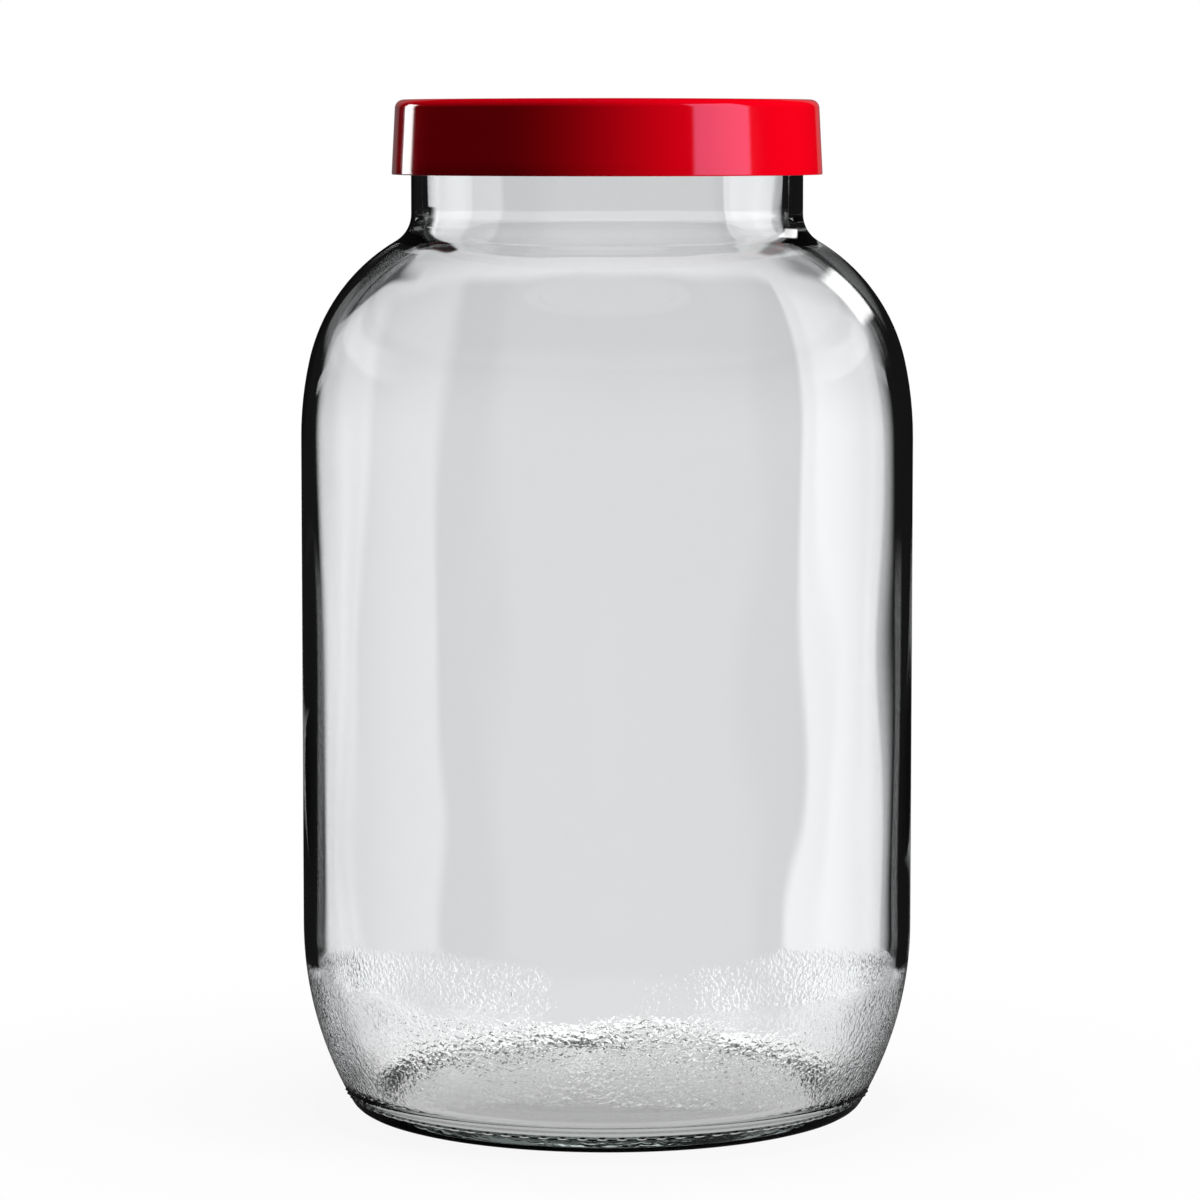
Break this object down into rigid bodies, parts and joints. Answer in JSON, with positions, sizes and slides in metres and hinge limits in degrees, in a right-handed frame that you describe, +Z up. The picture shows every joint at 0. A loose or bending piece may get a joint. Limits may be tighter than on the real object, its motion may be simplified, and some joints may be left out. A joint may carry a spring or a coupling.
{
  "type": "screw-top jar",
  "caption": "Tall round clear glass storage jar with a wide threaded neck, a smooth red screw cap and a sealing disc inside it.",
  "frame": {"origin": "on the jar's axis, in the plane of the ring that the jar stands on", "axes": "+Z up along the jar's axis; +Y away from the side that the picture shows"},
  "size_m": [0.1556, 0.1556, 0.2572],
  "materials": {
    "jar_glass": "clear, with a stippled heel",
    "cap_plastic": "high gloss, injection moulded",
    "disc_foam": "matt foam sheet"
  },
  "bodies": {
    "jar": {"glass_jar": "jar_glass"},
    "disc": {"sealing_disc": "disc_foam"},
    "cap": {"screw_cap": "cap_plastic"}
  },
  "joints": [
    {"name": "cap_lift", "type": "slide", "parent": "jar", "child": "disc", "axis": [0, 0, 1], "range_m": [0, 0.0254]},
    {"name": "cap_turn", "type": "hinge", "parent": "disc", "child": "cap", "pos_m": [0, 0, 0.2379], "axis": [0, 0, 1], "range_deg": [0, 1800]}
  ],
  "couplings": [
    {"joint": "cap_lift", "follows": "cap_turn", "m_per_rad": 0.0008085}
  ]
}
